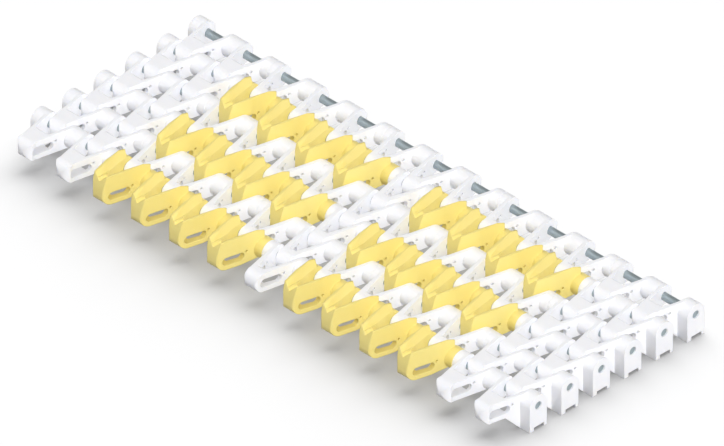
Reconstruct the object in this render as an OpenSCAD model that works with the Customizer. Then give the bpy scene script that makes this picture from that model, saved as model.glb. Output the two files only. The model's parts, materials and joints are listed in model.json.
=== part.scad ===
// Side-flexing modular plastic belt, 25 mm pitch, six rows with raised yellow modules.
// Millimetres. X is across the belt, Y is along its travel, Z is up.
// The origin is under the middle of the belt, on the plane its guide feet stand on.

/* [Belt] */
// Distance from one rod axis to the next along the belt
pitch = 25; // [20:0.5:30]
// Spacing of the vee noses across the belt
vee_gap = 30.2; // [28:0.1:34]
// Number of vees in a row
vees = 13; // [13:1:13]
// Number of rows
rows = 6; // [2:1:6]
// From the outermost nose centre to the belt's end face
edge_reach = 17; // [16:0.5:20]

/* [Row section] */
// Top of the plain modules above the rod axis
top_z = 6.6; // [6:0.1:8]
// Underside of the arms below the rod axis
under_z = 5.6; // [5:0.1:7]
// Outer radius of the rear knuckles
knuckle_r = 6.6; // [6:0.1:8]
// Half width of a knuckle across the belt
knuckle_half = 6.15; // [5.5:0.05:6.4]
// Depth of the guide blocks below the rod axis
guide_z = 15.9; // [12:0.1:20]
// Half length of a guide block along the belt
guide_half = 6.8; // [6:0.1:7.5]

/* [Rods and slots] */
// Rod diameter
rod_d = 5; // [4:0.1:6]
// Radial clearance of a rod in the knuckle holes
rod_play = 0.05; // [0.02:0.01:0.1]
// Radial clearance of a rod in the nose slots
slot_play = 0.1; // [0.05:0.01:0.2]
// Distance a rod can run from one end of a slot to the other
slot_run = 9; // [8:0.1:10]
// Gap between neighbouring modules of a row
seam = 0.16; // [0.1:0.02:0.4]

/* [Raised modules] */
// Height of the raised ribs above the plain top
raise = 7; // [3:0.1:9]
// Lean of a rib's inner wall, in degrees
rib_draft = 19; // [0:1:25]
// Front radius of a raised nose, seen from the side
bow_r = 34; // [20:1:60]
// Depth of the valley between two ribs at their front
valley_depth = 2.2; // [1:0.1:4]
// Fall of the valley's floor towards the back, in degrees
valley_fall = 11; // [0:1:20]

/* [Colours] */
// Colour of the plain modules and the plugs
plain_colour = [0.93, 0.93, 0.94]; // [0:0.01:1]
// Colour of the raised modules
raised_colour = [0.98, 0.86, 0.50]; // [0:0.01:1]
// Colour of the rods
rod_colour = [0.56, 0.60, 0.61]; // [0:0.01:1]

/* [Hidden] */
$fn = 48;
rod_r = rod_d / 2;
hole_r = rod_r + rod_play;
slot_r = rod_r + slot_play;
nose_r = (top_z + under_z) / 2;
nose_z = (top_z - under_z) / 2;
half_w = (vees - 1) / 2 * vee_gap + edge_reach;
shift_y = (nose_r - (rows * pitch + guide_half)) / 2;

// The seat at the left-hand edge, and the rod head and the plug that lie in it
seat_r = 3.8;
seat_l = 4.2;
head_r = 3.6;
head_l = 1.5;
head_play = 0.05;
plug_l = 2.4;
plug_play = 0.02;
rod_recess = 1;

// Heights and lengths of the raised modules and the small moulding holes
rib_top = top_z + raise;
rib_back = pitch + 0.9;
pin_hole_r = 0.8;
pin_hole_y = 13.1;
pin_hole_z = 2.1;

// Plan of a vee, right-hand half, with the nose axis at y = 0
nose_half = 5.2;
spread = 0.22;
arm_back = nose_half + spread * pitch;
function nose(half, r) = [for (a = [0:18:90]) [half - r * (1 - sin(a)), -nose_r - 0.1 + r * (1 - cos(a))]];
edge_nose = [for (a = [0:10:60]) [6.5 * sin(a), 0.35 - 6.5 * cos(a)]];
arm_out = [[nose_half, 0], [arm_back, pitch], [arm_back, pitch + 9]];
rib_out = [[8.1, 8.9], [8.75, 14.6], [10.2, pitch], [10.2, pitch + 9]];
mid_in = [[2.2, 3], [5.25, 11.9], [7.5, 21], [8.6, 26], [9, 29], [9, pitch + 10]];
edge_in = [[4.9, 9.9], [7.1, 18], [8.6, 26], [9, 29], [9, pitch + 10]];
inner_lean = atan((mid_in[3][0] - mid_in[0][0]) / (mid_in[3][1] - mid_in[0][1]));

// The modules of a row from left to right, and the names of the separate pieces
odd_row = ["left_edge", "raised_left", "centre", "raised_right", "right_edge"];
even_row = ["left_edge", "plain_left", "plain_centre", "plain_right", "right_edge"];
function modules(n) = n % 2 == 1 ? odd_row : even_row;

function flip(p) = [for (i = [len(p) - 1:-1:0]) [-p[i][0], p[i][1]]];
function both(p) = concat(p, flip(p));
function nose_x(k) = (k - (vees + 1) / 2) * vee_gap;
function row_y(n) = shift_y + (n - 1) * pitch;

// A round bar along X from x0 to x1
module bar_x(x0, x1, r, y, z) {
    translate([x0, y, z]) rotate([0, 90, 0]) cylinder(r = r, h = x1 - x0);
}

// The side section that every arm and nose follows, from x0 to x1
module slab(x0, x1) {
    bar_x(x0, x1, nose_r, 0, nose_z);
    translate([x0, 0, -under_z]) cube([x1 - x0, pitch, top_z + under_z]);
    knuckle(x0, x1);
}

// A rear knuckle, flat underneath
module knuckle(x0, x1) {
    intersection() {
        bar_x(x0, x1, knuckle_r, pitch, 0);
        translate([x0, pitch - 8, -under_z]) cube([x1 - x0, 16, under_z + 8]);
    }
}

// One vee in plan, from z0 to z1, with its opening
module vee(k, outline, opening, z0 = -12, z1 = 12) {
    translate([nose_x(k), 0, z0]) linear_extrude(z1 - z0) difference() {
        polygon(both(outline));
        polygon(both(opening));
    }
}

// The bores shared by a whole row: rod holes, slots and the small moulding holes
module row_bores(x0, x1) {
    bar_x(x0 - 1, x1 + 1, hole_r, pitch, 0);
    bar_x(x0 - 1, x1 + 1, slot_r, 0, 0);
    bar_x(x0 - 1, x1 + 1, slot_r, slot_run, 0);
    translate([x0 - 1, 0, -slot_r]) cube([x1 - x0 + 2, slot_run, 2 * slot_r]);
    bar_x(x0 - 1, x1 + 1, pin_hole_r, pin_hole_y, pin_hole_z);
}

// The moulded body of a module with vees a to b, cut at x0 and x1
module body(a, b, x0, x1, outline, opening) {
    difference() {
        union() {
            intersection() {
                union() for (k = [a:b]) vee(k, outline, opening);
                slab(x0, x1);
            }
            for (k = [a - 1:b]) {
                l = max(nose_x(k) + vee_gap / 2 - knuckle_half, x0);
                r = min(nose_x(k) + vee_gap / 2 + knuckle_half, x1);
                knuckle(l, r);
            }
        }
        row_bores(x0, x1);
    }
}

// A plain module with vees a to b
module plain(a, b) {
    color(plain_colour)
    body(a, b, nose_x(a) - vee_gap / 2 + seam / 2, nose_x(b) + vee_gap / 2 - seam / 2,
        concat(nose(5.1, 1.9), arm_out), mid_in);
}

// What lies inside a rib's inner wall, which leans out from the plain top upwards
module inside_rib() {
    translate([mid_in[0][0], mid_in[0][1], top_z]) rotate([0, rib_draft, -inner_lean])
        translate([-40, -40, -30]) cube([40, 90, 60]);
}

// The space between the ribs of one vee, over a floor that falls towards the back
module valley() {
    difference() {
        intersection() {
            inside_rib();
            mirror([1, 0, 0]) inside_rib();
        }
        translate([-40, -nose_r, rib_top - valley_depth]) rotate([-valley_fall, 0, 0])
            translate([0, -20, -40]) cube([80, 90, 40]);
    }
}

// The ribs that stand on vees a to b, with their bow-shaped fronts
module ribs(a, b, x0, x1) {
    difference() {
        intersection() {
            union() for (k = [a:b]) vee(k, concat(nose(4.8, 2.2), rib_out), mid_in, 0, rib_top);
            union() {
                bar_x(x0, x1, bow_r, bow_r - nose_r, nose_z);
                translate([x0, 0, 0]) cube([x1 - x0, rib_back, rib_top]);
            }
            translate([x0, -10, 0]) cube([x1 - x0, 10 + rib_back, rib_top]);
        }
        for (k = [a:b]) translate([nose_x(k), 0, 0]) valley();
    }
}

// A raised module with vees a to b
module raised(a, b) {
    x0 = nose_x(a) - vee_gap / 2 + seam / 2;
    x1 = nose_x(b) + vee_gap / 2 - seam / 2;
    color(raised_colour) union() {
        body(a, b, x0, x1, concat(nose(4.8, 2.2), rib_out), mid_in);
        difference() {
            ribs(a, b, x0, x1);
            row_bores(x0, x1);
        }
    }
}

// The guide block and gusset at the right-hand edge, at nose centre x = 0
module guide() {
    difference() {
        union() {
            bar_x(8.7, edge_reach, guide_half, pitch, 0);
            translate([8.7, pitch - guide_half, -guide_z])
                cube([edge_reach - 8.7, 2 * guide_half, guide_z]);
            intersection() {
                translate([0, 0, -guide_z]) linear_extrude(guide_z)
                    polygon([[4.95, 8.6], [7.09, 8.6], [9.38, 19], [7.2, 19]]);
                rotate([90, 0, 90]) linear_extrude(20)
                    polygon([[8.6, -4], [8.6, -under_z], [18.2, -guide_z], [19, -guide_z], [19, -4]]);
            }
        }
        translate([0, pitch - 3.5, -guide_z - 1]) cube([30, 7.9, 3.3]);
        bar_x(0, 30, hole_r, pitch, 0);
    }
}

// The edge module as it stands at the right-hand side
module edge() {
    union() {
        body(vees - 1, vees, nose_x(vees - 1) - vee_gap / 2 + seam / 2, nose_x(vees) + edge_reach,
            concat(edge_nose, arm_out), edge_in);
        translate([nose_x(vees), 0, 0]) guide();
    }
}

module right_edge() {
    color(plain_colour) edge();
}

// The left-hand edge module, with the seat for the rod head and its plug
module left_edge() {
    color(plain_colour) difference() {
        mirror([1, 0, 0]) edge();
        bar_x(-half_w - 1, -half_w + seat_l, seat_r, pitch, 0);
    }
}

// A rod with its head, lying in the rear holes of its row
module rod() {
    seat_end = -half_w + seat_l;
    color(rod_colour) union() {
        bar_x(seat_end - head_play - head_l / 2, half_w - rod_recess, rod_r, pitch, 0);
        bar_x(seat_end - head_play - head_l, seat_end - head_play, head_r, pitch, 0);
    }
}

// The plug that closes the seat over a rod head
module plug() {
    color(plain_colour) bar_x(-half_w, -half_w + plug_l, seat_r - plug_play, pitch, 0);
}

module at_row(n) translate([0, row_y(n), guide_z]) children();

for (n = [1:rows]) at_row(n) {
    left_edge();
    right_edge();
    rod();
    plug();
}
for (n = [1:2:rows]) at_row(n) {
    raised(3, 6);
    plain(7, 7);
    raised(8, 11);
}
for (n = [2:2:rows]) at_row(n) {
    plain(3, 5);
    plain(6, 8);
    plain(9, 11);
}
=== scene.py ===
import json
import math
import bmesh
import bpy
from mathutils import Matrix, Vector

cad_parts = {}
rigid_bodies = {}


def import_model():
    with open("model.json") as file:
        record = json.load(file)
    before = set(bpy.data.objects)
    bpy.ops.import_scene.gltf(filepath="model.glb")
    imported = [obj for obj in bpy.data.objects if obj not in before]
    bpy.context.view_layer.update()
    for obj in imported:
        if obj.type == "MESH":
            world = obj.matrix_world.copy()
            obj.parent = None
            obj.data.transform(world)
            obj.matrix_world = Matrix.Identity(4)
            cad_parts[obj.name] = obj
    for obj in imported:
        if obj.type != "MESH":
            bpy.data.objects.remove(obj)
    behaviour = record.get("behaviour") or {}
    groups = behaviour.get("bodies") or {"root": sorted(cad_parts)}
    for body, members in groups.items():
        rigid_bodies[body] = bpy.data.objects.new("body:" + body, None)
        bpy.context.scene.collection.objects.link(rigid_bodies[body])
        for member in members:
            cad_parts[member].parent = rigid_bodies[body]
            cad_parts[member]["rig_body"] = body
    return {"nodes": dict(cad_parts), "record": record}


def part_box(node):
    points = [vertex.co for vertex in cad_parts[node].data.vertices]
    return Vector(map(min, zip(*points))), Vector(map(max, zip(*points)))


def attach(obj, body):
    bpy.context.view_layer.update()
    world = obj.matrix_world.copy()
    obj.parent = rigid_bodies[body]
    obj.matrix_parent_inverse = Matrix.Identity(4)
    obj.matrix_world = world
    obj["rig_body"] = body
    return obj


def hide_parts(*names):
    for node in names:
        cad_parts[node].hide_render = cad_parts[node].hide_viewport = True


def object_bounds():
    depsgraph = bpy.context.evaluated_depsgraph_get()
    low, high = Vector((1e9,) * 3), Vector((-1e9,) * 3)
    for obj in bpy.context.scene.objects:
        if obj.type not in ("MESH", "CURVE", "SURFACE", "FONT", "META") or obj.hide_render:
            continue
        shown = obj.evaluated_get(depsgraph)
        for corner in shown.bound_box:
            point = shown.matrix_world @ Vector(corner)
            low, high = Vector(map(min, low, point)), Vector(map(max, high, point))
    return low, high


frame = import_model()
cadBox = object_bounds()

cameraView = {
    "azimuth": 45.0,
    "elevation": math.degrees(math.atan(math.sqrt(0.5))),  # isometric
    "width": 0.4064,
    "slideRight": 0.0055,
    "slideUp": 0.0019,
    "distance": 1.2,
}


def makeCamera(s):
    azimuth, elevation = math.radians(s["azimuth"]), math.radians(s["elevation"])
    back = Vector((
        math.sin(azimuth) * math.cos(elevation),
        -math.cos(azimuth) * math.cos(elevation),
        math.sin(elevation),
    ))
    right = Vector((math.cos(azimuth), math.sin(azimuth), 0))
    up = back.cross(right)
    middle = (Vector(cadBox[0]) + Vector(cadBox[1])) / 2
    aim = middle + right * s["slideRight"] + up * s["slideUp"]
    lens = bpy.data.cameras.new("camera")
    lens.type = "ORTHO"
    lens.ortho_scale = s["width"]
    camera = bpy.data.objects.new("camera", lens)
    camera.location = aim + back * s["distance"]
    camera.rotation_euler = back.to_track_quat("Z", "Y").to_euler()
    bpy.context.scene.collection.objects.link(camera)
    bpy.context.scene.camera = camera
    bpy.context.scene.view_settings.view_transform = "Standard"
    print("camera set")


def newMaterial(name):
    material = bpy.data.materials.new(name)
    material.use_nodes = True
    return material, material.node_tree.nodes["Principled BSDF"]


def addNode(material, kind, inputs, **settings):
    node = material.node_tree.nodes.new(kind)
    for key, value in settings.items():
        setattr(node, key, value)
    for key, value in inputs.items():
        setInput(material, node, key, value)
    return node


def setInput(material, node, key, value):
    if isinstance(value, bpy.types.NodeSocket):
        material.node_tree.links.new(value, node.inputs[key])
    else:
        node.inputs[key].default_value = value


def mixColours(material, factor, first, second):
    node = addNode(material, "ShaderNodeMix", {"Factor": factor}, data_type="RGBA")
    node.inputs["A"].default_value = (*first, 1)
    node.inputs["B"].default_value = (*second, 1)
    return node.outputs["Result"]


def between(material, factor, limits):
    low, high = limits
    node = addNode(material, "ShaderNodeMapRange", {
        "Value": factor,
        "To Min": low,
        "To Max": high,
    })
    return node.outputs["Result"]


# both plastics: faint cloudiness, a fine moulding grain, softened edges
mouldedGrain = {
    "mottleSize": 0.012,
    "mottleDetail": 3.0,
    "grainSize": 0.00016,
    "grainDetail": 2.0,
    "grainDepth": 0.08,
    "edgeSamples": 4,
    "ior": 1.48,
    "glowThrough": 0.35,
    "glowRadius": (0.003, 0.0027, 0.0022),
}
whitePlastic = {
    "name": "whiteMouldedPlastic",
    "colours": ((0.815, 0.816, 0.84), (0.855, 0.856, 0.878)),
    "roughness": (0.38, 0.50),
    "edgeRadius": 0.0005,
    **mouldedGrain,
}
yellowPlastic = {
    "name": "yellowMouldedPlastic",
    "colours": ((0.785, 0.658, 0.216), (0.815, 0.692, 0.24)),
    "roughness": (0.36, 0.48),
    "edgeRadius": 0.0008,
    **mouldedGrain,
}


def mouldedPlastic(s):
    material, shader = newMaterial(s["name"])
    place = addNode(material, "ShaderNodeTexCoord", {}).outputs["Object"]
    mottle = addNode(material, "ShaderNodeTexNoise", {
        "Vector": place,
        "Scale": 1 / s["mottleSize"],
        "Detail": s["mottleDetail"],
    }).outputs["Fac"]
    grain = addNode(material, "ShaderNodeTexNoise", {
        "Vector": place,
        "Scale": 1 / s["grainSize"],
        "Detail": s["grainDetail"],
    }).outputs["Fac"]
    softEdge = addNode(
        material, "ShaderNodeBevel", {"Radius": s["edgeRadius"]}, samples=s["edgeSamples"]
    )
    bump = addNode(material, "ShaderNodeBump", {
        "Height": grain,
        "Strength": s["grainDepth"],
        "Distance": s["grainSize"],
        "Normal": softEdge.outputs["Normal"],
    })
    setInput(material, shader, "Base Color", mixColours(material, mottle, *s["colours"]))
    setInput(material, shader, "Roughness", between(material, grain, s["roughness"]))
    setInput(material, shader, "Normal", bump.outputs["Normal"])
    setInput(material, shader, "IOR", s["ior"])
    setInput(material, shader, "Subsurface Weight", s["glowThrough"])
    setInput(material, shader, "Subsurface Radius", s["glowRadius"])
    return material


steelRod = {
    "name": "drawnSteelRod",
    "colours": ((0.30, 0.35, 0.37), (0.42, 0.49, 0.51)),
    "roughness": (0.30, 0.46),
    "metallic": 0.8,
    "lineSize": 0.00025,
    "lineDetail": 4.0,
    "lineStretch": 0.02,
    "lineDepth": 0.15,
}


def drawnSteel(s):
    material, shader = newMaterial(s["name"])
    place = addNode(material, "ShaderNodeTexCoord", {}).outputs["Object"]
    along = addNode(material, "ShaderNodeMapping", {
        "Vector": place,
        "Scale": (s["lineStretch"], 1, 1),
    })
    lines = addNode(material, "ShaderNodeTexNoise", {
        "Vector": along.outputs["Vector"],
        "Scale": 1 / s["lineSize"],
        "Detail": s["lineDetail"],
    }).outputs["Fac"]
    bump = addNode(material, "ShaderNodeBump", {
        "Height": lines,
        "Strength": s["lineDepth"],
        "Distance": s["lineSize"],
    })
    setInput(material, shader, "Base Color", mixColours(material, lines, *s["colours"]))
    setInput(material, shader, "Roughness", between(material, lines, s["roughness"]))
    setInput(material, shader, "Normal", bump.outputs["Normal"])
    setInput(material, shader, "Metallic", s["metallic"])
    return material


raisedNose = {
    "vees": 4,
    "seam": 0.00016,
    "axisBehindFront": 0.0061,
    "axisAboveBottom": 0.0056,
    "valleyAboveAxis": 0.0087,
    "valleyBeforeAxis": 0.0013,  # where along the nose the valley has that height
    "wallRise": 1.105,  # rise of a valley wall for each unit across
    "armSpread": 0.18,  # how the walls move apart for each unit along
    "wedgeSize": (0.018, 0.024, 0.03),
    "mergeWithin": 0.000002,
    "samePlace": 0.000005,  # how near a corner lies to the corner it was copied from
    "sameWay": 0.999,  # how nearly two faces point the same way, as a cosine
}


def addValleyWedge(cutter, nose, s):
    # the space between two ribs over one nose, as a block cut by the ribs' inner walls
    wedge = bmesh.new()
    place = Matrix.Translation(nose + Vector((0, 0, s["wedgeSize"][2] / 2)))
    bmesh.ops.create_cube(wedge, size=1, matrix=place @ Matrix.Diagonal((*s["wedgeSize"], 1)))
    valley = nose + Vector((0, -s["valleyBeforeAxis"], s["valleyAboveAxis"]))
    for side in (-1, 1):
        wall = Vector((-side * s["wallRise"], s["wallRise"] * s["armSpread"], 1)).normalized()
        geometry = wedge.verts[:] + wedge.edges[:] + wedge.faces[:]
        bmesh.ops.bisect_plane(
            wedge, geom=geometry, plane_co=valley, plane_no=wall, clear_inner=True
        )
        bmesh.ops.holes_fill(wedge, edges=wedge.edges[:], sides=0)
    bmesh.ops.recalc_face_normals(wedge, faces=wedge.faces[:])
    piece = bpy.data.meshes.new("wedge")
    wedge.to_mesh(piece)
    cutter.from_mesh(piece)
    bpy.data.meshes.remove(piece)
    wedge.free()


def makeObject(name, shape, finish):
    mesh = bpy.data.meshes.new(name)
    shape.to_mesh(mesh)
    shape.free()
    mesh.materials.append(finish)
    piece = bpy.data.objects.new(name, mesh)
    bpy.context.scene.collection.objects.link(piece)
    return piece


def applyModifiers(piece):
    graph = bpy.context.evaluated_depsgraph_get()
    graph.update()
    mesh = bpy.data.meshes.new_from_object(piece.evaluated_get(graph))
    piece.modifiers.clear()
    piece.data = mesh


def placeKey(mesh, corner, s):
    point = mesh.vertices[mesh.loops[corner].vertex_index].co
    return tuple(round(value / s["samePlace"]) for value in point)


def keepShading(mesh, source, s):
    # faces that the cut leaves alone keep the smooth shading of the module they are copied from
    known = {}
    for face in source.polygons:
        for corner in face.loop_indices:
            pair = (face.normal.copy(), source.corner_normals[corner].vector.copy())
            known.setdefault(placeKey(source, corner, s), []).append(pair)
    normals = []
    for face in mesh.polygons:
        for corner in face.loop_indices:
            pairs = known.get(placeKey(mesh, corner, s), [])
            match = max(pairs, key=lambda pair: pair[0].dot(face.normal), default=None)
            same = match is not None and match[0].dot(face.normal) > s["sameWay"]
            normals.append(match[1] if same else face.normal.copy())
    mesh.shade_smooth()
    mesh.normals_split_custom_set(normals)


def openValleys(node, finish, s):
    # the raised module again, with the valley between its ribs opened out over each nose
    shell = bmesh.new()
    shell.from_mesh(frame["nodes"][node].data)
    bmesh.ops.remove_doubles(shell, verts=shell.verts[:], dist=s["mergeWithin"])
    piece = makeObject(node + "_opened", shell, finish)
    low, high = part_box(node)
    gap = (high.x - low.x + s["seam"]) / s["vees"]
    cutter = bmesh.new()
    for vee in range(s["vees"]):
        across = low.x - s["seam"] / 2 + gap * (vee + 0.5)
        nose = Vector((across, low.y + s["axisBehindFront"], low.z + s["axisAboveBottom"]))
        addValleyWedge(cutter, nose, s)
    wedges = makeObject("wedges", cutter, finish)
    cut = piece.modifiers.new("valleys", "BOOLEAN")
    cut.object, cut.operation, cut.solver = wedges, "DIFFERENCE", "EXACT"
    applyModifiers(piece)
    bpy.data.objects.remove(wedges)
    keepShading(piece.data, frame["nodes"][node].data, s)
    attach(piece, frame["nodes"][node]["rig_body"])
    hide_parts(node)
    return piece


def finishParts():
    finishes = {
        "white_plastic": mouldedPlastic(whitePlastic),
        "yellow_plastic": mouldedPlastic(yellowPlastic),
        "steel": drawnSteel(steelRod),
    }
    slotOf = {part["node"]: part["material_slot"] for part in frame["record"]["subparts"]}
    for name, part in frame["nodes"].items():
        for holder in part.material_slots:
            holder.material = finishes[slotOf[name]]
    print("finished", len(frame["nodes"]), "parts")
    raised = sorted(name for name in frame["nodes"] if "_raised_" in name)
    opened = [openValleys(name, finishes["yellow_plastic"], raisedNose) for name in raised]
    print("opened the valleys of", len(opened), "raised modules")
    return [*frame["nodes"].values(), *opened]


paleFloor = {
    "name": "paleFloor",
    "size": 6.0,
    "cuts": 2,
    "seenColour": (0.325, 0.325, 0.327),
    "bounceColour": (0.145, 0.145, 0.15),
    "roughness": 0.9,
    "gloss": 0.1,
    "liftColour": (1, 1, 1, 1),
    "lift": 0.2,  # light that only the camera and the mirrored rays see
}


def makeFloor(s):
    cuts = s["cuts"]
    bpy.ops.mesh.primitive_grid_add(size=s["size"], x_subdivisions=cuts, y_subdivisions=cuts)
    floor = bpy.context.object
    floor.name = s["name"]
    material, shader = newMaterial(s["name"])
    rays = addNode(material, "ShaderNodeLightPath", {}).outputs
    seen = rays["Is Camera Ray"]
    for mirrored in ("Is Glossy Ray", "Is Transmission Ray"):
        either = addNode(
            material, "ShaderNodeMath", {0: seen, 1: rays[mirrored]}, operation="MAXIMUM"
        )
        seen = either.outputs["Value"]
    colour = mixColours(material, seen, s["bounceColour"], s["seenColour"])
    setInput(material, shader, "Base Color", colour)
    setInput(material, shader, "Roughness", s["roughness"])
    setInput(material, shader, "Specular IOR Level", s["gloss"])
    setInput(material, shader, "Emission Color", s["liftColour"])
    lift = addNode(material, "ShaderNodeMath", {0: seen, 1: s["lift"]}, operation="MULTIPLY")
    setInput(material, shader, "Emission Strength", lift.outputs["Value"])
    floor.data.materials.append(material)
    print("floor made")
    return floor


studioLight = {
    "ambient": 0.40,
    "ambientColour": (1, 1, 1, 1),
    "suns": {
        # the side lamp fills the gaps between the modules, so it casts no shadow
        "side": {
            "from": (0.86, -0.22, 0.46),
            "strength": 2.7,
            "spread": 40.0,
            "lights": "belt",
            "shadow": False,
        },
        "top": {
            "from": (-0.10, -0.50, 0.86),
            "strength": 1.05,
            "spread": 50.0,
            "lights": "belt",
            "shadow": True,
        },
        "behind": {
            "from": (-0.26, 0.45, 0.85),
            "strength": 7.5,
            "spread": 90.0,
            "lights": "floor",
            "shadow": True,
        },
    },
}


def lightGroup(name, members):
    group = bpy.data.collections.new(name)
    for member in members:
        group.objects.link(member)
    return group


def makeLight(s, belt, floor):
    world = bpy.data.worlds.new("paleRoom")
    world.use_nodes = True
    background = world.node_tree.nodes["Background"]
    background.inputs["Color"].default_value = s["ambientColour"]
    background.inputs["Strength"].default_value = s["ambient"]
    bpy.context.scene.world = world
    groups = {
        "belt": lightGroup("beltParts", belt),
        "floor": lightGroup("floorParts", [floor]),
    }
    for name, sun in s["suns"].items():
        light = bpy.data.lights.new(name, "SUN")
        light.energy = sun["strength"]
        light.angle = math.radians(sun["spread"])
        light.use_shadow = sun["shadow"]
        lamp = bpy.data.objects.new(name, light)
        lamp.rotation_euler = Vector(sun["from"]).to_track_quat("Z", "Y").to_euler()
        bpy.context.scene.collection.objects.link(lamp)
        lamp.light_linking.receiver_collection = groups[sun["lights"]]
    print("light made")


makeCamera(cameraView)
belt = finishParts()
floor = makeFloor(paleFloor)
makeLight(studioLight, belt, floor)
